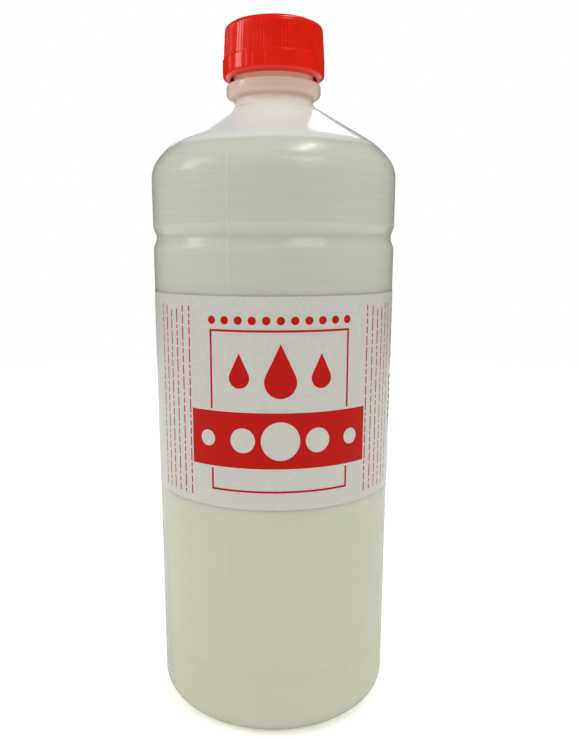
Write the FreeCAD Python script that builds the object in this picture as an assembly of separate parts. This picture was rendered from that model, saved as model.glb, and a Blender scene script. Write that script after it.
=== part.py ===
import FreeCAD, Part
import math
import os

# Household bleach bottle, one litre: a blown bottle, its wrap label, the liquid, a lined screw cap.
# Millimetres. +Z is up, the axis of the bottle is Z and the table is at z = 0.
# Outlines are lists of corners (radius, height, round), turned about the axis.

# Body of the bottle
body_diameter = 83.0
wall = 1.0
straight_height = 186.3
heel_round = 7.7
ring_inner_radius = 29.0
ring_inner_round = 2.5
base_rise = 3.2
base_slope_run = 5.0
base_middle_round = 6.0

# Shallow groove that stiffens the upper body
groove_below_shoulder = 19.1
groove_height = 7.0
groove_depth = 1.3
groove_round = 3.0

# Shoulder: a tight turn, a flatter crown, then a cone up to the neck
shoulder_turn_round = 9.7
shoulder_turn_angle = 35.0
shoulder_crown_round = 23.9
cone_slope = 30.8
neck_root_round = 1.5

# Parting line left by the two halves of the mould
seam_height = 0.15
seam_width = 0.5
seam_azimuth = -19.5
seam_label_margin = 0.5

# Neck with its bead and thread
neck_radius = 13.2
neck_wall = 1.8
lip_round = 0.5
bead_above_root = 2.4
bead_height = 4.5
bead_projection = 2.6
bead_lower_round = 1.8
bead_upper_round = 0.9
bead_root_round = 0.5
thread_pitch = 4.0
thread_height = 1.1
thread_root_width = 2.4
thread_crest_width = 1.0
thread_bite = 0.4
neck_thread_turns = 1.5
neck_thread_below_lip = 2.2
cap_thread_turns = 1.25
running_clearance = 0.3

# Screw cap and its liner
cap_height = 16.8
cap_top_thickness = 1.6
cap_side_wall = 2.4
cap_top_inset = 0.5
cap_top_round = 2.0
rim_round = 1.6
rim_inner_round = 0.4
rim_band_height = 6.0
ledge_depth = 0.15
rib_count = 96
rib_height = 0.2
rim_gap = 1.5
liner_thickness = 1.2
liner_edge_clearance = 0.3

# Liquid in the bottle
liquid_clearance = 0.1
fill_below_neck_root = 14.3

# Wrap label of printed film, and its ink
label_low = 81.9
label_height = 67.4
glue_line = 0.06
label_thickness = 0.2
ink_thickness = 0.12
panel_azimuth = 3.0
panel_half_angle = 31.4
frame_low = 87.6
frame_high = 139.2
rule_width = 0.7
band_low = 95.5
band_high = 113.5
band_half_angle = 41.5
bubble_radii = (6.2, 4.0, 2.6)
bubble_step = 12.0
drop_heights = (17.0, 11.0)
drop_width_ratio = 0.6
drop_middle_z = 126.5
drop_step = 13.0
dot_radius = 1.3
dot_step = 4.4
dot_count = 11
dot_row_z = 142.0
side_rule_count = 6
side_rule_step = 3.0
side_rule_width = 0.5
side_rule_low = 84.5
side_rule_high = 146.0
side_rule_azimuth = 53.0
mark_ring_radius = 2.6
mark_ring_line = 0.6
mark_ring_step = 7.4
mark_ring_top_z = 141.0
mark_azimuth = 74.0
bar_count = 7
bar_height = 1.3
bar_step = 2.3
bar_low = 105.5
bar_half_angle = 4.2

body_radius = body_diameter / 2
full_turn = 360.0


def place(radius, height):
    """Point of an outline in the XZ plane."""
    return FreeCAD.Vector(radius, 0, height)


def rounded_outline(corners):
    """Lines and tangent arcs along (radius, height, round) corners."""
    edges = []
    start = place(corners[0][0], corners[0][1])
    for before, here, after in zip(corners, corners[1:], corners[2:]):
        corner = place(here[0], here[1])
        arriving = (corner - place(before[0], before[1])).normalize()
        leaving = (place(after[0], after[1]) - corner).normalize()
        turn = arriving.getAngle(leaving)
        reach = here[2] * math.tan(turn / 2)
        arc_start = corner - arriving * reach
        arc_end = corner + leaving * reach
        if arc_start.distanceToPoint(start) > 1e-6:
            edges.append(Part.makeLine(start, arc_start))
        if reach > 0:
            inward = (leaving - arriving).normalize()
            arc_middle = corner + inward * here[2] * (1 / math.cos(turn / 2) - 1)
            edges.append(Part.Arc(arc_start, arc_middle, arc_end).toShape())
        start = arc_end
    edges.append(Part.makeLine(start, place(corners[-1][0], corners[-1][1])))
    return edges


def inside_of(corners, distance):
    """The corners of the parallel outline, that distance inside a counter-clockwise one."""
    moved = []
    last = len(corners) - 1
    for index, (radius, height, rounding) in enumerate(corners):
        before = corners[max(index - 1, 0)]
        after = corners[min(index + 1, last)]
        arriving = (place(radius, height) - place(before[0], before[1]))
        leaving = (place(after[0], after[1]) - place(radius, height))
        if index == 0:
            arriving = leaving
        if index == last:
            leaving = arriving
        normal_in = FreeCAD.Vector(-arriving.z, 0, arriving.x).normalize()
        normal_out = FreeCAD.Vector(-leaving.z, 0, leaving.x).normalize()
        shift = (normal_in + normal_out) * (distance / (1 + normal_in.dot(normal_out)))
        left_turn = arriving.x * leaving.z - arriving.z * leaving.x > 0
        new_round = rounding - distance if left_turn else rounding + distance
        moved.append((radius + shift.x, height + shift.z, max(new_round, 0) if rounding else 0))
    return moved


def turned_solid(corners):
    """Solid of revolution of an outline that is closed back along the axis."""
    edges = rounded_outline(corners)
    first = place(corners[0][0], corners[0][1])
    last = place(corners[-1][0], corners[-1][1])
    foot = place(0, first.z)
    head = place(0, last.z)
    if last.x > 1e-6:
        edges.append(Part.makeLine(last, head))
    edges.append(Part.makeLine(head, foot))
    if first.x > 1e-6:
        edges.append(Part.makeLine(foot, first))
    face = Part.Face(Part.Wire(edges))
    return face.revolve(FreeCAD.Vector(), FreeCAD.Vector(0, 0, 1), full_turn)


def disc(radius, low, high):
    """Upright cylinder about the axis."""
    return Part.makeCylinder(radius, high - low, FreeCAD.Vector(0, 0, low))


def shoulder_corners():
    """Corners of the turn and the crown, from the straight wall to the cone."""
    turn = math.radians(shoulder_turn_angle)
    crown_turn = math.radians(90 - shoulder_turn_angle - cone_slope)
    turn_reach = shoulder_turn_round * math.tan(turn / 2)
    crown_reach = shoulder_crown_round * math.tan(crown_turn / 2)
    turn_corner = (body_radius, straight_height + turn_reach)
    between = turn_reach + crown_reach
    crown_corner = (
        turn_corner[0] - between * math.sin(turn),
        turn_corner[1] + between * math.cos(turn),
    )
    return turn_corner, crown_corner


def body_corners():
    """Outer outline from the middle of the base, over heel, wall and shoulder, to the neck."""
    groove_z = straight_height - groove_below_shoulder
    turn_corner, crown_corner = shoulder_corners()
    return [
        (0, base_rise, 0),
        (ring_inner_radius - base_slope_run, base_rise, base_middle_round),
        (ring_inner_radius, 0, ring_inner_round),
        (body_radius, 0, heel_round),
        (body_radius, groove_z - groove_height / 2, groove_round),
        (body_radius - groove_depth, groove_z, groove_round),
        (body_radius, groove_z + groove_height / 2, groove_round),
        (turn_corner[0], turn_corner[1], shoulder_turn_round),
        (crown_corner[0], crown_corner[1], shoulder_crown_round),
        (neck_radius, neck_root_z, neck_root_round),
        (neck_radius, bead_low_z, 0),
    ]


crown_corner = shoulder_corners()[1]
neck_root_z = crown_corner[1] + (crown_corner[0] - neck_radius) * math.tan(math.radians(cone_slope))
bead_low_z = neck_root_z + bead_above_root
bead_top_z = bead_low_z + bead_height
rim_z = bead_top_z + rim_gap
cap_top_z = rim_z + cap_height
ceiling_z = cap_top_z - cap_top_thickness
lip_z = ceiling_z - liner_thickness
fill_z = neck_root_z - fill_below_neck_root
label_high = label_low + label_height
label_radius = body_radius + glue_line + label_thickness
ink_radius = label_radius + ink_thickness
cap_bore_radius = neck_radius + thread_height + running_clearance
rim_radius = cap_bore_radius + cap_side_wall


def neck_corners():
    """Outer outline of the neck above its root, with the bead under the thread."""
    lower_round = min(bead_lower_round, 0.7 * bead_projection)
    upper_round = min(bead_upper_round, 0.35 * bead_projection)
    root_round = min(bead_root_round, 0.2 * bead_projection)
    return [
        (neck_radius, bead_low_z, root_round),
        (neck_radius + bead_projection, bead_low_z, lower_round),
        (neck_radius + bead_projection, bead_top_z, upper_round),
        (neck_radius, bead_top_z, root_round),
        (neck_radius, lip_z, lip_round),
        (neck_radius - neck_wall, lip_z, 0),
    ]


def inner_corners(distance):
    """Outline that far inside the body's wall, whose cone runs up into the bore of the neck."""
    corners = inside_of(body_corners(), distance)[:-2]
    crown = corners[-1]
    bore = neck_radius - neck_wall
    root_z = crown[1] + (crown[0] - bore) * math.tan(math.radians(cone_slope))
    return corners + [(bore, root_z, neck_root_round), (bore, cap_top_z, 0)]


def thread_ridge(wall_radius, outward, middle_z, turns, start_angle):
    """Helical ridge on a wall; outward is 1 for a neck and -1 for a cap."""
    foot = wall_radius - outward * thread_bite
    crest = wall_radius + outward * thread_height
    flank = (thread_root_width - thread_crest_width) / 2 / thread_height
    foot_half = thread_root_width / 2 + flank * thread_bite
    crest_half = thread_crest_width / 2
    section = Part.makePolygon([
        place(foot, -foot_half),
        place(crest, -crest_half),
        place(crest, crest_half),
        place(foot, foot_half),
        place(foot, -foot_half),
    ])
    path = Part.makeHelix(thread_pitch, thread_pitch * turns, wall_radius)
    ridge = Part.Wire(path.Edges).makePipeShell([section], True, True)
    ridge.rotate(FreeCAD.Vector(), FreeCAD.Vector(0, 0, 1), start_angle)
    ridge.translate(FreeCAD.Vector(0, 0, middle_z))
    return ridge


def seam_fins():
    """The two thin raised lines where the mould closed, clear of the label."""
    raised = inside_of(body_corners(), -seam_height)
    angle = math.degrees(seam_width / body_radius)
    edges = rounded_outline(raised)
    edges.append(Part.makeLine(place(raised[-1][0], raised[-1][1]), place(0, raised[-1][1])))
    edges.append(Part.makeLine(place(0, raised[-1][1]), place(0, raised[0][1])))
    slice_face = Part.Face(Part.Wire(edges))
    fins = []
    for side in (0, 180):
        fin = slice_face.revolve(FreeCAD.Vector(), FreeCAD.Vector(0, 0, 1), angle)
        turn = seam_azimuth - 90 + side - angle / 2
        fin.rotate(FreeCAD.Vector(), FreeCAD.Vector(0, 0, 1), turn)
        fins.append(fin)
    fins = fins[0].fuse(fins[1])
    label_band = disc(
        body_radius + 2 * seam_height,
        label_low - seam_label_margin,
        label_high + seam_label_margin,
    )
    standing_zone = disc(body_radius + 2 * seam_height, -2 * seam_height, heel_round)
    return fins.cut(label_band).cut(standing_zone)


def neck_thread_z():
    """Height of the middle of the neck thread where it starts."""
    return lip_z - neck_thread_below_lip - thread_pitch * neck_thread_turns


def bottle():
    """The blown bottle: one skin from the base to the lip."""
    outer = turned_solid(body_corners()[:-1] + neck_corners()).fuse(seam_fins())
    ridge = thread_ridge(neck_radius, 1, neck_thread_z(), neck_thread_turns, 0)
    return outer.fuse(ridge).cut(turned_solid(inner_corners(wall)))


def bleach_liquid():
    """The liquid, up to its level in the shoulder."""
    inside = turned_solid(inner_corners(wall + liquid_clearance))
    return inside.common(disc(body_diameter, 0, fill_z))


def cap_outline():
    """Outer outline of the cap without its ribs."""
    ledge_z = rim_z + rim_band_height
    upper_radius = rim_radius - ledge_depth - rib_height
    top_radius = upper_radius - cap_top_inset
    return [
        (rim_radius, rim_z, rim_round),
        (rim_radius, ledge_z, 0),
        (upper_radius, ledge_z, 0),
        (top_radius, cap_top_z, cap_top_round),
    ]


def cap_ribs():
    """Ring of fine grip ribs between the rim band and the top round."""
    low = rim_z + rim_band_height
    high = cap_top_z - cap_top_round
    upper_radius = rim_radius - ledge_depth - rib_height
    lean = cap_top_inset * (high - low) / (cap_top_z - low)
    wires = []
    for height, valley in ((low, upper_radius), (high, upper_radius - lean)):
        points = []
        for index in range(2 * rib_count + 1):
            angle = math.pi * index / rib_count
            radius = valley + rib_height * (index % 2)
            points.append(FreeCAD.Vector(radius * math.cos(angle), radius * math.sin(angle), height))
        points[-1] = points[0]
        wires.append(Part.makePolygon(points))
    return Part.makeLoft(wires, True, True)


def cap():
    """The screw cap: ribbed skirt, smooth rim band, closed top and inner thread."""
    corners = cap_outline()
    top_corner = corners[-1]
    outer = turned_solid([(0, rim_z, 0)] + corners + [(0, cap_top_z, 0)])
    bore = turned_solid([
        (0, rim_z, 0),
        (cap_bore_radius + rim_inner_round, rim_z, 0),
        (cap_bore_radius, rim_z + rim_inner_round, 0),
        (cap_bore_radius, ceiling_z, liner_edge_clearance),
        (top_corner[0] / 2, ceiling_z, 0),
    ])
    shell = outer.fuse(cap_ribs()).cut(bore)
    first_turn = neck_thread_turns - cap_thread_turns
    middle_z = neck_thread_z() - thread_pitch / 2 + thread_pitch * first_turn
    ridge = thread_ridge(cap_bore_radius, -1, middle_z, cap_thread_turns, full_turn * first_turn)
    return shell.fuse(ridge)


def cap_liner():
    """Foam disc that seals the lip against the top of the cap."""
    return disc(cap_bore_radius - liner_edge_clearance, lip_z, ceiling_z)


def label():
    """Film wrapped all round the straight wall."""
    outer = disc(label_radius, label_low, label_high)
    return outer.cut(disc(body_radius + glue_line, label_low, label_high))


def ink_field(low, high, azimuth_from, azimuth_to):
    """Rectangle of ink between two heights and two azimuths (0 is the front, +90 the right side)."""
    section = Part.makePolygon([
        place(label_radius, low),
        place(ink_radius, low),
        place(ink_radius, high),
        place(label_radius, high),
        place(label_radius, low),
    ])
    field = Part.Face(section).revolve(
        FreeCAD.Vector(), FreeCAD.Vector(0, 0, 1), azimuth_to - azimuth_from
    )
    field.rotate(FreeCAD.Vector(), FreeCAD.Vector(0, 0, 1), azimuth_from - 90)
    return field


def ink_shape(face, azimuth):
    """Ink of a flat face drawn in the XZ plane about x = 0, laid on the label at an azimuth."""
    block = face.extrude(FreeCAD.Vector(0, -2 * ink_radius, 0))
    low = face.BoundBox.ZMin - 1
    high = face.BoundBox.ZMax + 1
    skin = disc(ink_radius, low, high).cut(disc(label_radius, low, high))
    patch = block.common(skin)
    patch.rotate(FreeCAD.Vector(), FreeCAD.Vector(0, 0, 1), azimuth)
    return patch


def round_face(radius, height):
    """Flat disc facing the front."""
    circle = Part.makeCircle(radius, place(0, height), FreeCAD.Vector(0, -1, 0))
    return Part.Face(Part.Wire(circle))


def drop_face(height, middle_z):
    """Flat drop facing the front: a round below and two tangents up to a point."""
    radius = height * drop_width_ratio / 2
    centre_z = middle_z - height / 2 + radius
    tip_z = middle_z + height / 2
    spread = math.acos(radius / (tip_z - centre_z))
    side = place(radius * math.sin(spread), centre_z + radius * math.cos(spread))
    other = place(-side.x, side.z)
    bottom = place(0, centre_z - radius)
    tip = place(0, tip_z)
    outline = [
        Part.makeLine(tip, side),
        Part.Arc(side, bottom, other).toShape(),
        Part.makeLine(other, tip),
    ]
    return Part.Face(Part.Wire(outline))


def frame_ink(middle):
    """Thin rectangular rule round the panel, broken by the broad band."""
    left = middle - panel_half_angle
    right = middle + panel_half_angle
    rule_angle = math.degrees(rule_width / label_radius)
    return [
        ink_field(frame_high - rule_width, frame_high, left, right),
        ink_field(frame_low, frame_low + rule_width, left, right),
        ink_field(frame_low + rule_width, band_low - rule_width, left, left + rule_angle),
        ink_field(frame_low + rule_width, band_low - rule_width, right - rule_angle, right),
        ink_field(band_high + rule_width, frame_high - rule_width, left, left + rule_angle),
        ink_field(band_high + rule_width, frame_high - rule_width, right - rule_angle, right),
    ]


def band_ink(middle):
    """Broad band with a row of round bubbles left open in it."""
    band = ink_field(band_low, band_high, middle - band_half_angle, middle + band_half_angle)
    centre_z = (band_low + band_high) / 2
    last = len(bubble_radii) - 1
    for index in range(-last, last + 1):
        azimuth = middle + math.degrees(bubble_step * index / label_radius)
        hole = round_face(bubble_radii[abs(index)], centre_z)
        block = hole.extrude(FreeCAD.Vector(0, -2 * ink_radius, 0))
        block.rotate(FreeCAD.Vector(), FreeCAD.Vector(0, 0, 1), azimuth)
        band = band.cut(block)
    return [band]


def drops_ink(middle):
    """One large drop between two small ones, above the band."""
    drops = []
    for index in (-1, 0, 1):
        azimuth = middle + math.degrees(drop_step * index / label_radius)
        drops.append(ink_shape(drop_face(drop_heights[abs(index)], drop_middle_z), azimuth))
    return drops


def dots_ink(middle):
    """Row of dots above the frame."""
    dots = []
    for index in range(dot_count):
        azimuth = middle + math.degrees(dot_step * (index - (dot_count - 1) / 2) / label_radius)
        dots.append(ink_shape(round_face(dot_radius, dot_row_z), azimuth))
    return dots


def side_rules_ink(middle):
    """Thin upright rules on both sides of the panel."""
    rules = []
    width = math.degrees(side_rule_width / label_radius)
    step = math.degrees(side_rule_step / label_radius)
    for side in (-1, 1):
        for index in range(side_rule_count):
            azimuth = middle + side * side_rule_azimuth + step * (index - (side_rule_count - 1) / 2)
            rules.append(ink_field(
                side_rule_low, side_rule_high, azimuth - width / 2, azimuth + width / 2
            ))
    return rules


def rings_ink(middle):
    """Three small rings, one under the other, at the edge of the view."""
    rings = []
    for index in range(3):
        height = mark_ring_top_z - mark_ring_step * index
        face = round_face(mark_ring_radius, height)
        face = face.cut(round_face(mark_ring_radius - mark_ring_line, height))
        rings.append(ink_shape(face, middle + mark_azimuth))
    return rings


def label_print_red():
    """Red ink, the same on the front and on the back."""
    fields = []
    for middle in (panel_azimuth, panel_azimuth + 180):
        for draw in (frame_ink, band_ink, drops_ink, dots_ink, side_rules_ink, rings_ink):
            fields.extend(draw(middle))
    return Part.makeCompound(fields)


def label_print_black():
    """Black ink: a stack of plain bars beside each panel."""
    bars = []
    for middle in (panel_azimuth + mark_azimuth, panel_azimuth + mark_azimuth + 180):
        for index in range(bar_count):
            low = bar_low + bar_step * index
            bars.append(ink_field(low, low + bar_height, middle - bar_half_angle, middle + bar_half_angle))
    return Part.makeCompound(bars)


pieces = {
    "bottle": bottle,
    "bleach_liquid": bleach_liquid,
    "cap": cap,
    "cap_liner": cap_liner,
    "label": label,
    "label_print_red": label_print_red,
    "label_print_black": label_print_black,
}

os.makedirs("parts", exist_ok=True)
for name, build in pieces.items():
    shape = build()
    shape.exportStep("parts/" + name + ".step")
    box = shape.BoundBox
    print(name, "solids", len(shape.Solids), "valid", shape.isValid(), "cm3 %.2f" % (shape.Volume / 1000),
          "z %.2f to %.2f" % (box.ZMin, box.ZMax), "widest %.2f" % max(box.XMax, box.YMax))
print("neck root %.2f, bead %.2f to %.2f, rim %.2f, lip %.2f, cap top %.2f, fill %.2f" % (
    neck_root_z, bead_low_z, bead_top_z, rim_z, lip_z, cap_top_z, fill_z))
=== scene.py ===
# %% [markdown]
# # A bleach bottle, dressed for the camera
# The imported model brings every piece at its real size: a blown polyethylene bottle, the liquid in it, a
# red screw cap with a foam liner, and a printed film label. This lesson turns the visible pieces again as
# fine meshes, because a turned outline gives cleaner highlights than a mesh made from flat facets. It then
# gives each one the finish of its real material, and sets up the light and the camera.

import math

import bmesh
import bpy
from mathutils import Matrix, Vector


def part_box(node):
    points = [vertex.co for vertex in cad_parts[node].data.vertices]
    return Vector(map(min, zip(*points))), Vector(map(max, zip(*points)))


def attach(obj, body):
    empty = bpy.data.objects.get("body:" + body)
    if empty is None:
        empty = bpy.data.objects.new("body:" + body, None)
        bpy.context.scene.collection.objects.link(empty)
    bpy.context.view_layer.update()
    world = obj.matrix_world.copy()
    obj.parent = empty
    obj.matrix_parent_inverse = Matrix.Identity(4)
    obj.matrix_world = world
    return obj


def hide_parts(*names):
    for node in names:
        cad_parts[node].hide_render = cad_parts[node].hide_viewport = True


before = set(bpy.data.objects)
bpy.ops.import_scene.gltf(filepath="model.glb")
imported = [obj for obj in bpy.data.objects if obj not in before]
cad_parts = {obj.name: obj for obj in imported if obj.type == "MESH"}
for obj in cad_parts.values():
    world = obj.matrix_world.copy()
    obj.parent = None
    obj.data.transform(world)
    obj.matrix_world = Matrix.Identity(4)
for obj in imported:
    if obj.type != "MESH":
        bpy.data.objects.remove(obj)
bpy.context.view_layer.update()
MM = 0.001
print("pieces in the frame:", sorted(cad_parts))

# %% [markdown]
# ## The outline of the bottle
# A blown bottle is a body of revolution, so one outline says nearly all of its shape. It could be drawn as
# a spline, but a designer thinks in straight stretches and rounds. Each corner below is a radius, a height
# and a round, in millimetres, and a small function turns the rounds into points on arcs.

# %% Sizes of the bottle, in millimetres
BODY_RADIUS = 41.5
WALL = 1.0
SHOULDER_Z = 186.3
HEEL_ROUND = 7.7
BASE_RISE = 3.2
BASE_SLOPE_RUN = 5.0
BASE_SLOPE_ROUND = 6.0
RING_INNER_RADIUS = 29.0
RING_ROUND = 2.5
GROOVE_Z = 167.2
GROOVE_HALF_HEIGHT = 3.5
GROOVE_DEPTH = 1.3
GROOVE_ROUND = 3.0
NECK_RADIUS = 13.2
NECK_WALL = 1.8
NECK_ROUND = 0.5
NECK_ROOT_ROUND = 3.2
BEAD_PROJECTION = 2.6
BEAD_HEIGHT = 4.5
BEAD_LOW_ROUND = 1.8
BEAD_TOP_ROUND = 0.9
BEAD_BELOW_RIM = 1.5
ROOT_BELOW_BEAD = 2.4
CONE_SLOPE = math.radians(30.8)
TURN_ANGLE = math.radians(35.0)
TURN_ROUND = 9.7
CROWN_ROUND = 23.9
LIP_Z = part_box("bottle")[1].z / MM
RIM_Z, CAP_TOP_Z = (corner.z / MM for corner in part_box("cap"))
BEAD_TOP_Z = RIM_Z - BEAD_BELOW_RIM
BEAD_LOW_Z = BEAD_TOP_Z - BEAD_HEIGHT
NECK_ROOT_Z = BEAD_LOW_Z - ROOT_BELOW_BEAD
print("lip at %.1f mm, rim of the cap at %.1f mm, top at %.1f mm" % (LIP_Z, RIM_Z, CAP_TOP_Z))

# %% Turn corners into a smooth outline
NEAR = 0.01


def outline(corners, arc_step=5.0):
    """Points (radius, height) along corners (radius, height, round), each round drawn as an arc."""
    points = [Vector(corners[0][:2])]
    for before, here, after in zip(corners, corners[1:], corners[2:]):
        corner = Vector(here[:2])
        size = here[2]
        arriving = (corner - Vector(before[:2])).normalized()
        leaving = (Vector(after[:2]) - corner).normalized()
        turn = arriving.angle_signed(leaving)
        if size == 0:
            points.append(corner)
            continue
        reach = size * math.tan(abs(turn) / 2)
        side = Vector((-arriving.y, arriving.x)) * (-1 if turn > 0 else 1)
        centre = corner - arriving * reach + side * size
        steps = max(2, round(math.degrees(abs(turn)) / arc_step))
        for step in range(steps + 1):
            angle = abs(turn) * step / steps
            points.append(centre - side * size * math.cos(angle) + arriving * size * math.sin(angle))
    points.append(Vector(corners[-1][:2]))
    apart = [(point - before).length > NEAR for before, point in zip(points, points[1:])]
    return points[:1] + [point for point, far in zip(points[1:], apart) if far]


def inset(points, distance):
    """The outline moved to its left by a distance, which is inwards on an outline drawn upwards."""
    moved = []
    for index, point in enumerate(points):
        before = points[max(index - 1, 0)]
        after = points[min(index + 1, len(points) - 1)]
        along = (after - before).normalized()
        moved.append(point + Vector((-along.y, along.x)) * distance)
    return moved


def filled_in(points, longest):
    """The same outline with extra points, so that no stretch is longer than that."""
    dense = [points[0]]
    for start, end in zip(points, points[1:]):
        pieces = max(1, math.ceil((end - start).length / longest))
        dense += [start.lerp(end, piece / pieces) for piece in range(1, pieces + 1)]
    return dense


print("points on a quarter round:", len(outline([(0, 0, 0), (9, 0, 3.0), (9, 9, 0)])) - 2)

# %% [markdown]
# ## Two skins
# The shoulder turns in twice before it meets the cone, so both rounds are placed from their angles. The
# inner skin is the outer one set in by the wall, as far as the cone. The neck's bore is a straight tube.

# %% The outer and the inner skin
turn_reach = TURN_ROUND * math.tan(TURN_ANGLE / 2)
crown_reach = CROWN_ROUND * math.tan((math.pi / 2 - TURN_ANGLE - CONE_SLOPE) / 2)
crown_radius = BODY_RADIUS - (turn_reach + crown_reach) * math.sin(TURN_ANGLE)
crown_z = SHOULDER_Z + turn_reach + (turn_reach + crown_reach) * math.cos(TURN_ANGLE)
body_corners = [
    (0, BASE_RISE, 0),
    (RING_INNER_RADIUS - BASE_SLOPE_RUN, BASE_RISE, BASE_SLOPE_ROUND),
    (RING_INNER_RADIUS, 0, RING_ROUND),
    (BODY_RADIUS, 0, HEEL_ROUND),
    (BODY_RADIUS, GROOVE_Z - GROOVE_HALF_HEIGHT, GROOVE_ROUND),
    (BODY_RADIUS - GROOVE_DEPTH, GROOVE_Z, GROOVE_ROUND),
    (BODY_RADIUS, GROOVE_Z + GROOVE_HALF_HEIGHT, GROOVE_ROUND),
    (BODY_RADIUS, SHOULDER_Z + turn_reach, TURN_ROUND),
    (crown_radius, crown_z, CROWN_ROUND),
    (NECK_RADIUS, NECK_ROOT_Z, NECK_ROOT_ROUND),
]
neck_corners = [
    (NECK_RADIUS, BEAD_LOW_Z, NECK_ROUND),
    (NECK_RADIUS + BEAD_PROJECTION, BEAD_LOW_Z, BEAD_LOW_ROUND),
    (NECK_RADIUS + BEAD_PROJECTION, BEAD_TOP_Z, BEAD_TOP_ROUND),
    (NECK_RADIUS, BEAD_TOP_Z, NECK_ROUND),
    (NECK_RADIUS, LIP_Z, NECK_ROUND),
    (NECK_RADIUS - NECK_WALL, LIP_Z, 0),
]
outer_skin = outline(body_corners + neck_corners)
body_skin = outline(body_corners[:-1] + [(NECK_RADIUS, NECK_ROOT_Z, 0)])


def inner_skin(distance):
    """Outline inside the wall, up the cone and into the bore of the neck."""
    bore = NECK_RADIUS - NECK_WALL
    skin = inset(body_skin, distance)[:-1]
    skin[0].x = 0
    root_z = skin[-1].y + (skin[-1].x - bore) * math.tan(CONE_SLOPE)
    return skin + [Vector((bore, root_z)), Vector((bore, LIP_Z))]


print("outer skin has", len(outer_skin), "points, inner skin", len(inner_skin(WALL)))

# %% [markdown]
# ## Turning a mesh
# A Screw modifier would turn the outline too. Writing the vertices by hand is as short, and lets each
# vertex move a little: that is how the neck gets its thread, the body its parting line and the cap its
# grip ribs.

# %% Turn an outline about the axis
ON_AXIS = 1e-6


def turned(name, points, azimuths, relief=None):
    """A mesh of (radius, height) points in mm, turned through azimuths in degrees (0 is the front)."""
    vertices = []
    rings = []
    for point in points:
        if point.x < ON_AXIS:
            rings.append([len(vertices)] * len(azimuths))
            vertices.append((0, 0, point.y * MM))
            continue
        rings.append(range(len(vertices), len(vertices) + len(azimuths)))
        for azimuth in azimuths:
            radius = point.x + (relief(azimuth, point) if relief else 0)
            angle = math.radians(azimuth)
            x = radius * math.sin(angle) * MM
            y = -radius * math.cos(angle) * MM
            vertices.append((x, y, point.y * MM))
    faces = []
    for ring, above in zip(rings, rings[1:]):
        for column in range(len(azimuths)):
            beside = (column + 1) % len(azimuths)
            face = [ring[column], ring[beside], above[beside], above[column]]
            face = list(dict.fromkeys(face))
            if len(face) > 2:
                faces.append(face)
    mesh = bpy.data.meshes.new(name)
    mesh.from_pydata(vertices, [], faces)
    mesh.shade_smooth()
    piece = bpy.data.objects.new(name, mesh)
    bpy.context.scene.collection.objects.link(piece)
    print(name, "has", len(faces), "faces")
    return piece


# %% [markdown]
# ## Parting line and thread
# A blow mould closes from two sides, and leaves a fine raised line where its halves meet. The neck is
# pressed in the same mould, so its thread belongs to the same skin. Both are relief on the turned mesh,
# and each is a function of the azimuth and the height.

# %% Parting line and thread
SEAM_AZIMUTH = -19.5
SEAM_SIDES = (SEAM_AZIMUTH, SEAM_AZIMUTH + 180)
SEAM_HALF_DEGREES = 0.35
SEAM_HEIGHT = 0.13
LABEL_LOW_Z, LABEL_HIGH_Z = (corner.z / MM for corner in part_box("label"))
LABEL_MARGIN = 1.0
THREAD_PITCH = 4.0
THREAD_HEIGHT = 1.1
THREAD_ROOT_HALF = 1.2
THREAD_CREST_HALF = 0.5
THREAD_TURNS = 1.5
THREAD_RUN_INS = 30
THREAD_BELOW_LIP = 2.2
THREAD_START_AZIMUTH = 90
THREAD_START_Z = LIP_Z - THREAD_BELOW_LIP - THREAD_PITCH * THREAD_TURNS


def degrees_apart(first, second):
    """The angle between two azimuths, at most 180 degrees."""
    return abs((first - second + 180) % 360 - 180)


def seam_relief(azimuth, point):
    """Height of the parting line, from the heel to the neck bead but for the part behind the label."""
    across = min(degrees_apart(azimuth, side) for side in SEAM_SIDES)
    covered = LABEL_LOW_Z - LABEL_MARGIN < point.y < LABEL_HIGH_Z + LABEL_MARGIN
    if covered or point.y < HEEL_ROUND or point.y > BEAD_LOW_Z:
        return 0
    return SEAM_HEIGHT * max(0, 1 - across / SEAM_HALF_DEGREES)


def thread_relief(azimuth, z, start_z, turns):
    """Height of a right-hand helical ridge, full after a thirtieth of a turn at each end."""
    around = ((azimuth - THREAD_START_AZIMUTH) % 360) / 360
    best = 0
    for turn in range(math.ceil(turns)):
        along = around + turn
        ends = max(0, min(1, along * THREAD_RUN_INS, (turns - along) * THREAD_RUN_INS))
        off = abs(z - start_z - THREAD_PITCH * along)
        flank = (THREAD_ROOT_HALF - off) / (THREAD_ROOT_HALF - THREAD_CREST_HALF)
        best = max(best, THREAD_HEIGHT * ends * max(0, min(1, flank)))
    return best


def bottle_relief(azimuth, point):
    """Parting line on the body and thread on the neck, on the outer skin only."""
    if abs(point.x - NECK_RADIUS) < NEAR and point.y > BEAD_TOP_Z + NECK_ROUND:
        return thread_relief(azimuth, point.y, THREAD_START_Z, THREAD_TURNS)
    if point.x > NECK_RADIUS - NEAR:
        return seam_relief(azimuth, point)
    return 0


print("the thread starts at %.1f mm and climbs %.1f mm" % (THREAD_START_Z, THREAD_PITCH * THREAD_TURNS))

# %% [markdown]
# ## The bottle
# The blown skin is one piece, from the pushed-up base to the lip and down the inside again. The columns
# lie closer together where the parting line runs, so that a line half a millimetre wide shows, and the
# rings lie closer together on the neck, for the thread.

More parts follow.
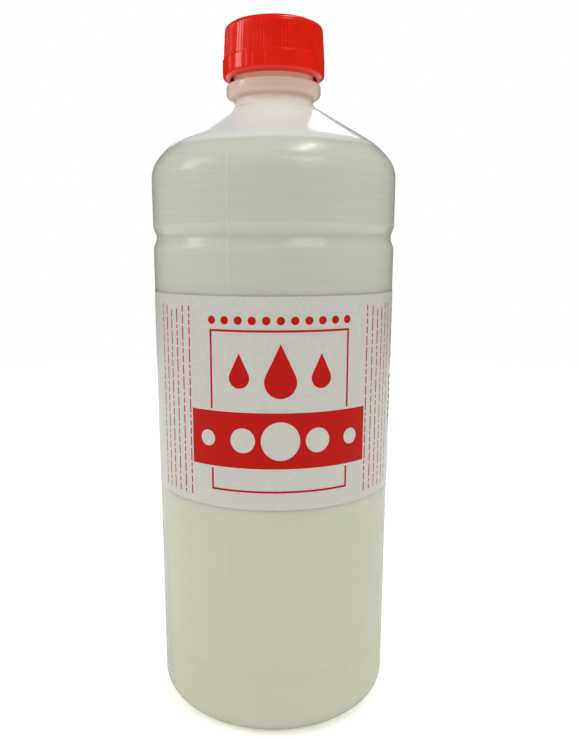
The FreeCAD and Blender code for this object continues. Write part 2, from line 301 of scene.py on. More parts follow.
# %% Blow the bottle
COLUMN_STEP = 1.5
COLUMN_GAP = 0.5
WALL_STEP = 4.0
THREAD_STEP = 0.25
columns = [COLUMN_STEP * step for step in range(round(360 / COLUMN_STEP))]
for side in SEAM_SIDES:
    fine = [side + SEAM_HALF_DEGREES * step for step in (-2, -1, 0, 1, 2)]
    columns = [a for a in columns if min(degrees_apart(a, f) for f in fine) > COLUMN_GAP] + fine
columns = sorted(azimuth % 360 for azimuth in columns)
dense_outer = []
for start, end in zip(outer_skin, outer_skin[1:]):
    longest = THREAD_STEP if start.y > BEAD_TOP_Z else WALL_STEP
    dense_outer += filled_in([start, end], longest)[:-1]
dense_outer.append(outer_skin[-1])
bottle = turned("bottle_blown", dense_outer + inner_skin(WALL)[::-1], columns, bottle_relief)
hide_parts("bottle")
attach(bottle, "bottle_body")

# %% [markdown]
# ## The liquid
# Thin bleach wets the wall, so its edge draws a clean line round the shoulder where the bottle turns
# darker. It is turned from the inner skin, cut at its level, and stays a tenth of a millimetre inside the
# wall.

# %% Fill the bottle
FILL_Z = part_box("bleach_liquid")[1].z / MM
LIQUID_CLEARANCE = 0.1
wetted = inner_skin(WALL + LIQUID_CLEARANCE)
above = [point.y > FILL_Z for point in wetted].index(True)
share = (FILL_Z - wetted[above - 1].y) / (wetted[above].y - wetted[above - 1].y)
edge = wetted[above - 1].lerp(wetted[above], share)
liquid_skin = wetted[:above] + [edge, Vector((0, FILL_Z))]
liquid = turned("liquid_fill", filled_in(liquid_skin, WALL_STEP), columns)
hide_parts("bleach_liquid")
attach(liquid, "bottle_body")

# %% [markdown]
# ## The cap
# A moulded screw cap has a smooth band at its rim, and above a small ledge its fine ribs give the hand a
# grip. The ribs are 96 flat lands parted by narrow grooves, cut a fifth of a millimetre deep. Six columns
# of vertices draw each rib with its groove.

# %% Grip ribs and inner thread
RIB_COUNT = 96
GROOVE_CUT = 0.2
GROOVE_SHARE = 0.09
RIB_PHASES = (0, GROOVE_SHARE, 0.17, 0.5, 0.83, 1 - GROOVE_SHARE)
RIB_DEPTH_ZONE = 1.1
BAND_HEIGHT = 6.0
TOP_ROUND = 2.0
RUNNING_CLEARANCE = 0.3
CAP_WALL = 2.4
THREAD_ABOVE_RIM = 1
THREAD_BELOW_CEILING = 1.5
cap_bore = NECK_RADIUS + THREAD_HEIGHT + RUNNING_CLEARANCE
rim_radius = cap_bore + CAP_WALL
ledge_z = RIM_Z + BAND_HEIGHT
rib_top_z = CAP_TOP_Z - 0.5 * TOP_ROUND
ceiling_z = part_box("cap_liner")[1].z / MM
cap_thread_z = THREAD_START_Z - THREAD_PITCH / 2


def cap_relief(azimuth, point):
    """Grooves between the grip ribs outside, thread inside."""
    if point.x > rim_radius - RIB_DEPTH_ZONE and ledge_z - NEAR < point.y < rib_top_z:
        phase = (azimuth * RIB_COUNT / 360) % 1
        groove = max(0, 1 - min(phase, 1 - phase) / GROOVE_SHARE)
        fade = min(1, (rib_top_z - point.y) / TOP_ROUND)
        return -GROOVE_CUT * fade * groove
    threaded = RIM_Z + THREAD_ABOVE_RIM < point.y < ceiling_z - THREAD_BELOW_CEILING
    if abs(point.x - cap_bore) < NEAR and threaded:
        return -thread_relief(azimuth, point.y, cap_thread_z, THREAD_TURNS)
    return 0


print("the cap is %.1f mm across at its rim and bored to %.1f mm" % (2 * rim_radius, 2 * cap_bore))

# %% Mould the cap
LEDGE = 0.06
LEDGE_RISE = 0.05
LEDGE_ROUNDS = (0.08, 0.05)
RIM_ROUNDS = (0.3, 1.6)
BORE_TOP_GAP = 1.0
TOP_INSET = 0.5
CAP_STEP = 0.5
ribbed_radius = rim_radius - LEDGE
cap_outer = outline([
    (cap_bore, ceiling_z - BORE_TOP_GAP, 0),
    (cap_bore, RIM_Z, RIM_ROUNDS[0]),
    (rim_radius, RIM_Z, RIM_ROUNDS[1]),
    (rim_radius, ledge_z, LEDGE_ROUNDS[0]),
    (ribbed_radius, ledge_z + LEDGE_RISE, LEDGE_ROUNDS[1]),
    (ribbed_radius - GROOVE_CUT - TOP_INSET, CAP_TOP_Z, TOP_ROUND),
    (0, CAP_TOP_Z, 0),
], arc_step=9.0)
cap_skin = [Vector((0, ceiling_z)), Vector((cap_bore, ceiling_z))] + filled_in(cap_outer, CAP_STEP)
rib_columns = []
for rib in range(RIB_COUNT):
    rib_columns += [360 * (rib + phase) / RIB_COUNT for phase in RIB_PHASES]
cap = turned("cap_moulded", cap_skin, rib_columns, cap_relief)
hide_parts("cap")
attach(cap, "cap_body")

# %% [markdown]
# ## The label
# The label is a film wrapped all the way round and glued where its ends meet, on the right side of the
# bottle. It is a thin closed sleeve, lifted by one thickness of film where one end lies over the other.

# %% Wrap the label
FILM = 0.07
GLUE = 0.08
LAP_AZIMUTH = 98.0
LAP_DEGREES = 10.0
LAP_EDGE_DEGREES = 0.4
film_radius = BODY_RADIUS + GLUE


def lap_relief(azimuth, point):
    """The lift of the film where its two ends overlap."""
    over = (azimuth - LAP_AZIMUTH) % 360
    if over >= LAP_DEGREES:
        return 0
    return FILM * max(0, min(1, over / LAP_EDGE_DEGREES, (LAP_DEGREES - over) / LAP_EDGE_DEGREES))


label_skin = [
    Vector((film_radius, LABEL_LOW_Z)),
    Vector((film_radius + FILM, LABEL_LOW_Z)),
    Vector((film_radius + FILM, LABEL_HIGH_Z)),
    Vector((film_radius, LABEL_HIGH_Z)),
    Vector((film_radius, LABEL_LOW_Z)),
]
label = turned("label_sleeve", filled_in(label_skin, WALL_STEP), columns, lap_relief)
label.data.shade_flat()
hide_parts("label")
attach(label, "bottle_body")

# %% [markdown]
# ## The print
# A printer lays flat artwork on flat film, and the film is wrapped afterwards. The same order works here:
# every field of ink is drawn flat in millimetres, cut into narrow upright strips so that it can bend, and
# then laid round the label. An image texture would blur close up; real edges stay sharp at any size.

# %% Flat shapes
def ring_points(centre_x, centre_y, radius, count=48):
    """Points round a circle."""
    turns = [2 * math.pi * i / count for i in range(count)]
    return [(centre_x + radius * math.cos(a), centre_y + radius * math.sin(a)) for a in turns]


def box_points(left, low, right, high):
    """Corners of an upright rectangle."""
    return [(left, low), (right, low), (right, high), (left, high)]


def drop_points(centre_x, middle_y, height, width_ratio=0.6, count=28):
    """Outline of a falling drop: most of a circle, and two straight sides up to a point."""
    radius = height * width_ratio / 2
    centre_y = middle_y - height / 2 + radius
    spread = math.acos(radius / (middle_y + height / 2 - centre_y))
    first = math.pi / 2 - spread
    sweep = 2 * math.pi - 2 * spread
    arc = [first - sweep * i / count for i in range(count + 1)]
    return [(centre_x, middle_y + height / 2)] + [
        (centre_x + radius * math.cos(a), centre_y + radius * math.sin(a)) for a in arc
    ]


print("a drop has", len(drop_points(0, 0, 10.0)), "points")

# %% Ink from flat shapes
STRIP = 1.0
INK = 0.02
SAME_POINT = 1e-4
PANEL_AZIMUTH = 3.0
ink_radius = film_radius + FILM + INK


def flat_mesh(name, shapes):
    """One flat mesh from shapes, each an outline and its holes."""
    curve = bpy.data.curves.new(name, "CURVE")
    curve.dimensions = "2D"
    curve.fill_mode = "FRONT"
    for outline_and_holes in shapes:
        for loop in outline_and_holes:
            spline = curve.splines.new("POLY")
            spline.points.add(len(loop) - 1)
            for point, (x, y) in zip(spline.points, loop):
                point.co = (x, y, 0, 1)
            spline.use_cyclic_u = True
    drawing = bpy.data.objects.new(name + "_flat", curve)
    bpy.context.scene.collection.objects.link(drawing)
    mesh = bpy.data.meshes.new_from_object(drawing.evaluated_get(bpy.context.evaluated_depsgraph_get()))
    bpy.data.objects.remove(drawing)
    return mesh


def wrapped_ink(name, shapes):
    """A piece of ink from flat shapes, bent round the label at two opposite panels."""
    mesh = flat_mesh(name, shapes)
    flat = bmesh.new()
    flat.from_mesh(mesh)
    bmesh.ops.remove_doubles(flat, verts=flat.verts, dist=SAME_POINT)
    reach = math.ceil(max(abs(v.co.x) for v in flat.verts))
    for step in range(-reach, reach + 1):
        everything = flat.verts[:] + flat.edges[:] + flat.faces[:]
        cut_at = (step * STRIP, 0, 0)
        bmesh.ops.bisect_plane(flat, geom=everything, plane_co=cut_at, plane_no=(1, 0, 0))
    back = bmesh.ops.duplicate(flat, geom=flat.verts[:] + flat.edges[:] + flat.faces[:])
    behind = {item for item in back["geom"] if isinstance(item, bmesh.types.BMVert)}
    for vertex in flat.verts:
        turn = math.radians(PANEL_AZIMUTH + (180 if vertex in behind else 0)) + vertex.co.x / ink_radius
        height = vertex.co.y
        vertex.co = Vector((math.sin(turn) * ink_radius, -math.cos(turn) * ink_radius, height)) * MM
    flat.normal_update()
    outward = [face.normal.dot(face.calc_center_median() * Vector((1, 1, 0))) for face in flat.faces]
    if sum(outward) < 0:
        bmesh.ops.reverse_faces(flat, faces=flat.faces[:])
    flat.to_mesh(mesh)
    flat.free()
    mesh.name = name
    mesh.shade_smooth()
    piece = bpy.data.objects.new(name, mesh)
    bpy.context.scene.collection.objects.link(piece)
    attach(piece, "bottle_body")
    print(name, "has", len(mesh.polygons), "faces")
    return piece


print("ink lies at a radius of %.2f mm" % ink_radius)

# %% [markdown]
# ## The artwork
# A broad band with open bubbles crosses a thin frame, under three drops and a row of dots. Rings and bars
# fill one side, and dashed rules both. Every shape is a few numbers, so a loop can repeat it.

# %% Front panel
RULE = 0.7
FRAME_HALF = 22.8
FRAME_LOW, FRAME_HIGH = 87.6, 139.2
BAND_HALF = 30.2
BAND_LOW, BAND_HIGH = 95.5, 113.5
BUBBLE_STEP = 12.0
BUBBLE_RADII = (6.2, 4.0, 2.6)
DROP_STEP = 13.0
DROP_Y = 126.5
DROP_HEIGHTS = (17.0, 11.0)
DOT_STEP = 4.4
DOT_Y = 142.0
DOT_RADIUS = 1.3
band_middle = (BAND_LOW + BAND_HIGH) / 2
red_shapes = []
for low, high in ((FRAME_LOW, FRAME_LOW + RULE), (FRAME_HIGH - RULE, FRAME_HIGH)):
    red_shapes.append([box_points(-FRAME_HALF, low, FRAME_HALF, high)])
for low, high in ((FRAME_LOW + RULE, BAND_LOW - RULE), (BAND_HIGH + RULE, FRAME_HIGH - RULE)):
    for left in (-FRAME_HALF, FRAME_HALF - RULE):
        red_shapes.append([box_points(left, low, left + RULE, high)])
bubbles = [ring_points(BUBBLE_STEP * i, band_middle, BUBBLE_RADII[abs(i)]) for i in range(-2, 3)]
red_shapes.append([box_points(-BAND_HALF, BAND_LOW, BAND_HALF, BAND_HIGH)] + bubbles)
for index in (-1, 0, 1):
    red_shapes.append([drop_points(DROP_STEP * index, DROP_Y, DROP_HEIGHTS[abs(index)])])
for index in range(-5, 6):
    red_shapes.append([ring_points(DOT_STEP * index, DOT_Y, DOT_RADIUS, 20)])
print("the front panel has", len(red_shapes), "fields of ink")

# %% Rings and dashed rules
RING_X = 54.0
RING_TOP_Y = 141.0
RING_STEP = 7.4
RING_RADII = (2.6, 2.0)
RULES_X = 38.6
RULES_COUNT = 6
RULES_STEP = 3.0
RULES_LOW, RULES_HIGH = 84.5, 146.0
DASH_WIDTH = 0.5
DASH_GAP = 0.7
DASH_LENGTHS = (3.1, 1.7, 4.4, 2.3, 1.2)
SHORTEST_DASH = 1.0
for index in range(3):
    ring_y = RING_TOP_Y - RING_STEP * index
    red_shapes.append([ring_points(RING_X, ring_y, radius, 32) for radius in RING_RADII])
for side in (-1, 1):
    for column in range(RULES_COUNT):
        middle = side * RULES_X + RULES_STEP * (column - (RULES_COUNT - 1) / 2)
        left = middle - DASH_WIDTH / 2
        y = RULES_LOW
        dash = 0
        while y < RULES_HIGH - SHORTEST_DASH:
            length = DASH_LENGTHS[(dash * 3 + column) % len(DASH_LENGTHS)]
            red_shapes.append([box_points(left, y, left + DASH_WIDTH, min(y + length, RULES_HIGH))])
            y += length + DASH_GAP
            dash += 1
red_print = wrapped_ink("print_red", red_shapes)
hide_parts("label_print_red")

# %% Black bars
BAR_LEFT, BAR_RIGHT = 51.0, 57.0
BAR_LOW = 105.5
BAR_HEIGHT = 1.3
BAR_STEP = 2.3
bars = []
for index in range(7):
    low = BAR_LOW + BAR_STEP * index
    bars.append([box_points(BAR_LEFT, low, BAR_RIGHT, low + BAR_HEIGHT)])
black_print = wrapped_ink("print_black", bars)
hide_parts("label_print_black")

# %% [markdown]
# ## Helpers for materials
# A material is a small graph of nodes. One function adds a node with its settings and links, and another
# turns a colour given as an sRGB hex value into the linear numbers that the shader works in.
# Noise seldom leaves the range from 0.3 to 0.7, so colours and numbers run between these two.

# %% Nodes and colours
NOISE_LOW, NOISE_HIGH = 0.3, 0.7


def linear(hex_colour, alpha=1.0):
    """Linear RGBA from an sRGB hex value such as 'C8281A'."""
    channels = [int(hex_colour[i:i + 2], 16) / 255 for i in (0, 2, 4)]
    return [c / 12.92 if c <= 0.04045 else ((c + 0.055) / 1.055) ** 2.4 for c in channels] + [alpha]


def fill(tree, node, inputs):
    """Fills named inputs with a value, a link from a socket, or a link from a node's first output."""
    for name, value in inputs.items():
        named = [socket for socket in node.inputs if socket.name == name and socket.enabled]
        socket = named[0] if named else node.inputs[name]
        if isinstance(value, bpy.types.Node):
            value = next(output for output in value.outputs if output.enabled)
        if isinstance(value, bpy.types.NodeSocket):
            tree.links.new(value, socket)
        else:
            socket.default_value = value


def add_node(tree, kind, inputs=None, ramp=(), **settings):
    """Adds a node with its fields and inputs and, for a colour ramp, the hex colours at its two ends."""
    node = tree.nodes.new(kind)
    for field, value in settings.items():
        setattr(node, field, value)
    for index, hex_colour in enumerate(ramp):
        element = node.color_ramp.elements[index]
        element.color = linear(hex_colour)
        element.position = (NOISE_LOW, NOISE_HIGH)[index]
    fill(tree, node, inputs or {})
    return node


print("middle grey in linear light: %.3f" % linear("808080")[0])

# %% [markdown]
# ## Patterns of real size
# A pattern is placed by the piece's own coordinates, in metres, so its scale follows from the size in
# millimetres that its features have on the real surface.

# %% Materials and patterns
def new_material(name, constants):
    """A material with an empty graph but for its shader, whose constant inputs are set here."""
    material = bpy.data.materials.new(name)
    material.use_nodes = True
    tree = material.node_tree
    shader = tree.nodes["Principled BSDF"]
    fill(tree, shader, constants)
    return material, tree, shader


def pattern(tree, size_mm, stretch=(1, 1, 1), detail=3.0, kind="ShaderNodeTexNoise"):
    """A texture whose features measure size_mm on the real piece, squeezed along an axis if asked."""
    place = add_node(tree, "ShaderNodeTexCoord").outputs["Object"]
    scaled = add_node(tree, "ShaderNodeMapping", {"Vector": place, "Scale": stretch})
    inputs = {"Vector": scaled, "Scale": 1 / (size_mm * MM)}
    if kind == "ShaderNodeTexNoise":
        inputs["Detail"] = detail
    return add_node(tree, kind, inputs)


def paint(piece, material):
    """Gives a piece one material."""
    piece.data.materials.clear()
    piece.data.materials.append(material)
    print(piece.name, "is made of", material.name)


print("a pattern of 5 mm has a scale of", 1 / (5 * MM))

# %% [markdown]
# ## Natural polyethylene
# The bottle is blown high-density polyethylene with no pigment. It is milky: light enters, scatters and
# leaves again, so a full bottle glows softly and an empty one looks pale. Its skin copies the mould with a
# satin gloss, and the stretched parison leaves fine level flow lines, half a millimetre high and 40 mm
# long. The wall takes its tone from what lies behind it, and light and shade are painted into that tone,
# laid over one another by height: painted light makes it lighter and yellower low down, a painted shade
# draws a soft darker line near the foot, painted light makes it lighter just below the level of the
# liquid, and above it the dry wall is pale, partly from painted light.
# The light of the red cap tints the neck; it is written into the tone, which keeps the graph simple. The
# parting line shows paler above the label, where the light grazes it.

# %% The tone of the wall
FLOW_SIZE = 12.0
FLOW_SQUEEZE = (0.3, 0.3, 22.0)
FLOW_DEPTH = 0.007
WET_EDGE = 0.4
PAINTED_LIGHT_BELOW_LEVEL = 6.0
PAINTED_LIGHT_LOW_FROM, PAINTED_LIGHT_LOW_TO = 150.0, 80.0
FOOT_SHADE_Z = 23.5
FOOT_SHADE_REACH = 4.8
NECK_TINT_FROM, NECK_TINT_TO = BEAD_LOW_Z - 4.4, BEAD_LOW_Z + 0.4
CAP_TINT_REACH = 0.5
SEAM_TONE_EDGE, SEAM_TONE_CORE = 0.35, 0.05
hdpe, tree, shader = new_material("blown_natural_hdpe", {
    "IOR": 1.5, "Roughness": 0.17, "Subsurface Weight": 1.0, "Subsurface Scale": 0.001,
    "Subsurface Radius": (5.0, 5.0, 4.5),
})
flow = pattern(tree, FLOW_SIZE, FLOW_SQUEEZE)
place = add_node(tree, "ShaderNodeTexCoord").outputs["Object"]
height = add_node(tree, "ShaderNodeSeparateXYZ", {0: place}).outputs["Z"]


def share_of(value, start_mm, end_mm):
    """A share that runs from 0 to 1 as a height or a distance runs between two measures."""
    inputs = {"Value": value, "From Min": start_mm * MM, "From Max": end_mm * MM}
    return add_node(tree, "ShaderNodeMapRange", inputs)


def laid_over(under, share, light, dark):
    """A tone with another laid over it by a share; the flow lines run between its two colours."""
    over = add_node(tree, "ShaderNodeValToRGB", {"Fac": flow}, ramp=(light, dark))
    return add_node(tree, "ShaderNodeMix", {"Factor": share, "A": under, "B": over}, data_type="RGBA")


dry = share_of(height, FILL_Z - WET_EDGE, FILL_Z + WET_EDGE)
# painted light: the wall is lighter and yellower low down
painted_light_low_wall = share_of(height, PAINTED_LIGHT_LOW_FROM, PAINTED_LIGHT_LOW_TO)
# painted shade: a soft darker line round the wall near the foot
painted_shade_foot_line = add_node(tree, "ShaderNodeMath", {
    0: share_of(height, FOOT_SHADE_Z - FOOT_SHADE_REACH, FOOT_SHADE_Z),
    1: share_of(height, FOOT_SHADE_Z + FOOT_SHADE_REACH, FOOT_SHADE_Z),
}, operation="MULTIPLY")
seam_side = (math.cos(math.radians(SEAM_AZIMUTH)), math.sin(math.radians(SEAM_AZIMUTH)), 0)
across = add_node(tree, "ShaderNodeVectorMath", {0: place, 1: seam_side}, operation="DOT_PRODUCT")
off_seam = add_node(tree, "ShaderNodeMath", {0: across.outputs["Value"]}, operation="ABSOLUTE")
seam = add_node(tree, "ShaderNodeMath", {
    0: share_of(off_seam, SEAM_TONE_EDGE, SEAM_TONE_CORE),
    1: share_of(height, LABEL_LOW_Z, LABEL_HIGH_Z),
}, operation="MULTIPLY")
tone = add_node(tree, "ShaderNodeValToRGB", {"Fac": flow}, ramp=("EAECD1", "F1F2DC"))
# painted light, lighter and yellower low down
tone = laid_over(tone, painted_light_low_wall, "F6F8CC", "FAFBD4")
# painted shade, a soft darker line near the foot
tone = laid_over(tone, painted_shade_foot_line, "F1F3C5", "F4F5CC")
# painted light, lighter just below the level of the liquid
tone = laid_over(tone, share_of(height, FILL_Z - PAINTED_LIGHT_BELOW_LEVEL, FILL_Z), "F9FBE4", "FCFDEE")
# pale dry wall above the liquid, where no liquid lies behind it; the paleness is partly painted light
tone = laid_over(tone, dry, "F2F9E8", "F8FDF0")
tone = laid_over(tone, seam, "FAFBE8", "FDFEF0")
neck_tone = add_node(tree, "ShaderNodeValToRGB", {"Fac": flow}, ramp=("D2B7AF", "D6BDB5"))
in_cap = share_of(height, BEAD_TOP_Z - CAP_TINT_REACH, BEAD_TOP_Z + CAP_TINT_REACH)
neck_tone = laid_over(neck_tone, in_cap, "FFC4B0", "FFCAB8")
under_cap = share_of(height, NECK_TINT_FROM, NECK_TINT_TO)
tone = add_node(tree, "ShaderNodeMix", {"Factor": under_cap, "A": tone, "B": neck_tone}, data_type="RGBA")
flow_relief = {"Height": flow, "Distance": FLOW_DEPTH * MM, "Strength": 1.0}
fill(tree, shader, {"Base Color": tone, "Normal": add_node(tree, "ShaderNodeBump", flow_relief)})
print("the wall's tone takes", len(tree.nodes), "nodes")

# %% [markdown]
# ## Light straight through the wall
# A milky wall also lets some light pass without scattering, more of it where liquid lies behind. Seen
# edge-on, that light crosses more plastic, so it comes out darker and a little green.

# %% Light straight through the wall
STRAIGHT_WET = 0.42
STRAIGHT_DRY = 0.2
EDGE_FROM, EDGE_TO = 0.68, 0.85
edge_on = add_node(tree, "ShaderNodeLayerWeight", {"Blend": 0.5}).outputs["Facing"]
edge_share = add_node(tree, "ShaderNodeMapRange", {
    "Value": edge_on, "From Min": EDGE_FROM, "From Max": EDGE_TO
})
straight_tone = add_node(tree, "ShaderNodeMix", {
    "Factor": edge_share, "A": linear("F8F8F2"), "B": linear("B4B8A6")
}, data_type="RGBA")
straight = add_node(tree, "ShaderNodeBsdfTransparent", {"Color": straight_tone})
straight_share = add_node(tree, "ShaderNodeMapRange", {
    "Value": dry, "To Min": STRAIGHT_WET, "To Max": STRAIGHT_DRY
})
wall_light = add_node(tree, "ShaderNodeMixShader", {"Fac": straight_share, 1: shader, 2: straight})
fill(tree, tree.nodes["Material Output"], {"Surface": wall_light})
paint(bottle, hdpe)

# %% [markdown]
# ## Thin bleach
# The liquid itself is clear with a faint yellow-green tint. Seen through a milky wall it reads as a soft
# even tone, because the wall has already scattered the light. A body that scatters a little gives that
# tone with few light paths.

# %% Thin bleach
SCATTERED_SHARE = 0.6
bleach, tree, shader = new_material("thin_bleach", {
    "IOR": 1.34, "Roughness": 0.25, "Specular IOR Level": 0.3
})
clouds = pattern(tree, 40.0, detail=1.0)
tint = add_node(tree, "ShaderNodeValToRGB", {"Fac": clouds}, ramp=("B9BF84", "BFC58C"))
fill(tree, shader, {"Base Color": tint})
passing = add_node(tree, "ShaderNodeBsdfTranslucent", {"Color": tint})
liquid_light = add_node(tree, "ShaderNodeMixShader", {"Fac": SCATTERED_SHARE, 1: shader, 2: passing})
fill(tree, tree.nodes["Material Output"], {"Surface": liquid_light})
paint(liquid, bleach)

# %% [markdown]
# ## Red polypropylene
# The cap is injection-moulded polypropylene, coloured through with an orange-leaning red pigment. A
# polished mould gives it a clear gloss. Its skin is slightly uneven from shrinking over the ribs.

# %% Red polypropylene
red_pp, tree, shader = new_material("moulded_red_polypropylene", {"IOR": 1.49, "Specular IOR Level": 0.38})
mottle = pattern(tree, 5.0, detail=2.0)
orange_peel = pattern(tree, 1.6, detail=1.0)
gloss = {"Value": orange_peel, "From Min": NOISE_LOW, "From Max": NOISE_HIGH, "To Min": 0.09, "To Max": 0.14}
uneven = {"Height": orange_peel, "Distance": 0.02 * MM, "Strength": 1.0}
fill(tree, shader, {
    "Base Color": add_node(tree, "ShaderNodeValToRGB", {"Fac": mottle}, ramp=("CF1A06", "D81F09")),
    "Roughness": add_node(tree, "ShaderNodeMapRange", gloss),
    "Normal": add_node(tree, "ShaderNodeBump", uneven),
})
paint(cap, red_pp)

# %% [markdown]
# ## Foam liner
# The disc under the top of the cap is closed-cell polyethylene foam. Its cells are near 0.3 mm across.

# %% Foam liner
foam, tree, shader = new_material("closed_cell_pe_foam", {"IOR": 1.5, "Roughness": 0.8})
cells = pattern(tree, 0.3, kind="ShaderNodeTexVoronoi")
cell_relief = {"Height": cells, "Distance": 0.05 * MM, "Strength": 1.0}
fill(tree, shader, {
    "Base Color": add_node(tree, "ShaderNodeValToRGB", {"Fac": cells}, ramp=("DCDCD4", "F0F0EA")),
    "Normal": add_node(tree, "ShaderNodeBump", cell_relief),
})
paint(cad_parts["cap_liner"], foam)

# %% [markdown]
# ## Label film
# The film is thin pearly polypropylene, greyer than the bottle, with a satin skin. It was pulled tight
# when it was wrapped, so it has long shallow waves.

# %% Label film
film, tree, shader = new_material("pearl_label_film", {"IOR": 1.49, "Specular IOR Level": 0.5})
waves = pattern(tree, 14.0, (1, 1, 0.35), 2.0)
fibres = pattern(tree, 1.2)
satin = {"Value": fibres, "From Min": NOISE_LOW, "From Max": NOISE_HIGH, "To Min": 0.3, "To Max": 0.42}
wave_relief = {"Height": waves, "Distance": 0.1 * MM, "Strength": 1.0}
fill(tree, shader, {
    "Base Color": add_node(tree, "ShaderNodeValToRGB", {"Fac": fibres}, ramp=("B5B4AC", "BCBAB2")),
    "Roughness": add_node(tree, "ShaderNodeMapRange", satin),
    "Normal": add_node(tree, "ShaderNodeBump", wave_relief),
})
paint(label, film)

# %% [markdown]
# ## Inks
# Printing ink dries as a film a few thousandths of a millimetre thick. It lets the pearly film show
# through a little, in fine speckles where the plate pressed less.


# %% Inks
def ink_material(name, light_tone, dark_tone):
    """Satin ink with fine speckles."""
    ink, tree, shader = new_material(name, {"IOR": 1.5, "Specular IOR Level": 0.1})
    speckle = pattern(tree, 0.5, detail=4.0)
    satin = {"Value": speckle, "From Min": NOISE_LOW, "From Max": NOISE_HIGH, "To Min": 0.34, "To Max": 0.46}
    fill(tree, shader, {
        "Base Color": add_node(tree, "ShaderNodeValToRGB", {"Fac": speckle}, ramp=(light_tone, dark_tone)),
        "Roughness": add_node(tree, "ShaderNodeMapRange", satin),
    })
    return ink


paint(red_print, ink_material("red_printing_ink", "B21208", "A60E06"))
paint(black_print, ink_material("black_printing_ink", "2A2627", "201D1E"))

# %% [markdown]
# ## White tent
# The bottle stands in a white light tent, which gives an even plain light from all round. To the camera it
# is plain white. In gloss it is nearly black, but for a spot straight behind the bottle, so that the lamps
# alone draw the highlights. A light path tells the world which kind of ray is asking.

# %% White tent
TENT_LEVEL = 0.86
GLOSS_LEVEL = 0.04
SPOT_EDGE, SPOT_CORE = 0.97, 0.995
scene = bpy.context.scene
scene.view_settings.view_transform = "Standard"
world = bpy.data.worlds.new("white_tent")
scene.world = world
world.use_nodes = True
tree = world.node_tree
path = add_node(tree, "ShaderNodeLightPath").outputs
direction = add_node(tree, "ShaderNodeTexCoord").outputs["Generated"]
backwards = add_node(tree, "ShaderNodeSeparateXYZ", {0: direction}).outputs["Y"]
behind = add_node(tree, "ShaderNodeMapRange", {
    "Value": backwards, "From Min": SPOT_EDGE, "From Max": SPOT_CORE, "To Min": GLOSS_LEVEL, "To Max": 1.0
})
mirrored = add_node(tree, "ShaderNodeMath", {0: path["Is Glossy Ray"], 1: behind}, operation="MULTIPLY")
direct = add_node(tree, "ShaderNodeMath", {
    0: path["Is Camera Ray"], 1: path["Is Transmission Ray"]
}, operation="MAXIMUM")
seen = add_node(tree, "ShaderNodeMath", {0: mirrored, 1: direct}, operation="ADD")
even = add_node(tree, "ShaderNodeMath", {0: path["Is Diffuse Ray"], 1: TENT_LEVEL}, operation="MULTIPLY")
total = add_node(tree, "ShaderNodeMath", {0: seen, 1: even}, operation="ADD")
fill(tree, tree.nodes["Background"], {"Color": (1, 1, 1, 1), "Strength": total})
print("the tent's light takes", len(tree.nodes), "nodes")

# %% [markdown]
# ## Floor
# A sheet of matt white paper carries the bottle. For the camera it glows a little, so that it stays as
# white as the tent and keeps only a faint contact shadow.

# %% Floor
FLOOR_RADIUS = 900.0
FLOOR_Z = -0.1
FLOOR_LIFT = 0.3
floor = turned("floor", [Vector((0, 0)), Vector((FLOOR_RADIUS, 0))], [10 * step for step in range(36)])
for vertex in floor.data.vertices:
    vertex.co.z = FLOOR_Z * MM
paper, tree, shader = new_material("white_paper_floor", {
    "Roughness": 0.9, "Specular IOR Level": 0.1, "Emission Color": (1, 1, 1, 1)
})
fibres = pattern(tree, 3.0)
to_camera = add_node(tree, "ShaderNodeLightPath").outputs["Is Camera Ray"]
lift = add_node(tree, "ShaderNodeMath", {0: to_camera, 1: FLOOR_LIFT}, operation="MULTIPLY")
fill(tree, shader, {
    "Base Color": add_node(tree, "ShaderNodeValToRGB", {"Fac": fibres}, ramp=("F4F4F3", "F7F7F6")),
    "Emission Strength": lift,
})
paint(floor, paper)

# %% [markdown]
# ## Lamps
# Soft boxes stand for the windows and lamps of a room: a broad window at the left with narrower bars
# beside it, one high at the left, two over the top at the right, one at the front right, and two behind
# that whiten the cone. The path limit cuts off light that milky walls pass to and fro many times, so two
# small lamps inside the headspace and the neck stand for it.

# %% Soft boxes
AIM = Vector((0, 0, 0.18))


def soft_box(name, azimuth, elevation, distance, width, height, power):
    """An area lamp aimed at the shoulder, from an azimuth (0 is the front) and an elevation."""
    lamp = bpy.data.lights.new(name, "AREA")
    lamp.shape = "RECTANGLE"
    lamp.size = width
    lamp.size_y = height
    lamp.energy = power
    light = bpy.data.objects.new(name, lamp)
    across = distance * math.cos(math.radians(elevation))
    place = Vector((
        across * math.sin(math.radians(azimuth)),
        -across * math.cos(math.radians(azimuth)),
        distance * math.sin(math.radians(elevation)),
    ))
    light.location = AIM + place
    light.rotation_euler = place.to_track_quat("Z", "Y").to_euler()
    scene.collection.objects.link(light)


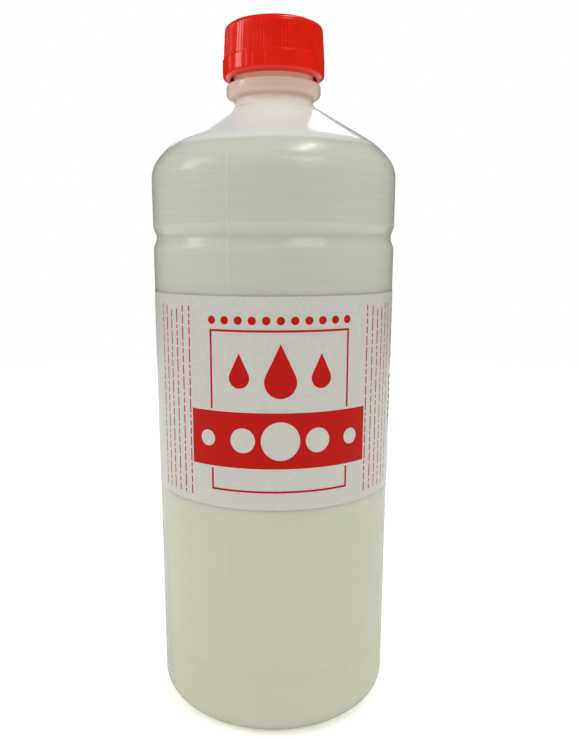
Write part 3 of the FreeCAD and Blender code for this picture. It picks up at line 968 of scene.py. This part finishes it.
# azimuth and elevation in degrees; distance, width and height in metres; power in watts
soft_box("left_window", -84, 20, 1.2, 0.36, 0.36, 1.95)
soft_box("left_window_far", -114, 20, 1.2, 0.22, 0.36, 0.14)
soft_box("left_window_narrow", -63, 17, 1.2, 0.09, 0.3, 0.16)
soft_box("left_window_thin", -48, 17, 1.2, 0.03, 0.3, 0.05)
soft_box("left_window_line", -19, 17, 1.2, 0.012, 0.3, 0.025)
soft_box("left_high", -76, 35, 1.2, 0.5, 0.26, 1.1)
soft_box("top_right", 72, 71, 1.0, 0.3, 0.06, 0.9)
soft_box("top_right_wide", 72, 71, 1.05, 0.6, 0.25, 1.3)
soft_box("front_right", 36, 37, 1.2, 0.55, 0.28, 1.9)
soft_box("back_right", 164, 39.5, 1.2, 0.25, 0.44, 1.7)
soft_box("back_left", -168, 24, 1.2, 0.2, 0.33, 0.95)
print("soft boxes:", len(bpy.data.lights))


# %% Glow inside the bottle
def inner_glow(name, height_mm, radius_mm, power):
    """A small lamp on the axis inside the bottle, for light that its walls pass to and fro."""
    lamp = bpy.data.lights.new(name, "POINT")
    lamp.energy = power
    lamp.shadow_soft_size = radius_mm * MM
    light = bpy.data.objects.new(name, lamp)
    light.location = (0, 0, height_mm * MM)
    scene.collection.objects.link(light)


inner_glow("headspace_glow", 206.0, 6.0, 0.0033)
inner_glow("neck_glow", 219.0, 4.0, 0.0017)
print("lamps in all:", len(bpy.data.lights))

# %% [markdown]
# ## Camera
# The photograph was taken from close by, slightly above the label's height and tilted down. Its focal
# length in pixels and the middle of its lens come from the curves of the label's edges.

# %% Camera
PHOTO_WIDTH, PHOTO_HEIGHT = 580, 740
FOCAL_PIXELS = 729.7
LENS_MIDDLE_X, LENS_MIDDLE_Y = 273.6, 400.0
DISTANCE = 261.6
EYE_Z = 162.4
TILT_DOWN = math.radians(11.47)
SENSOR = 36.0
NEAREST = 0.01
camera_data = bpy.data.cameras.new("photo_camera")
camera_data.sensor_width = SENSOR
camera_data.lens = FOCAL_PIXELS * SENSOR / PHOTO_HEIGHT
camera_data.shift_x = (PHOTO_WIDTH / 2 - LENS_MIDDLE_X) / PHOTO_HEIGHT
camera_data.shift_y = (LENS_MIDDLE_Y - PHOTO_HEIGHT / 2) / PHOTO_HEIGHT
camera_data.clip_start = NEAREST
camera = bpy.data.objects.new("photo_camera", camera_data)
camera.location = (0, -DISTANCE * MM, EYE_Z * MM)
camera.rotation_euler = (math.pi / 2 - TILT_DOWN, 0, 0)
scene.collection.objects.link(camera)
scene.camera = camera
print("lens %.1f mm, shift %.3f, %.3f" % (camera_data.lens, camera_data.shift_x, camera_data.shift_y))
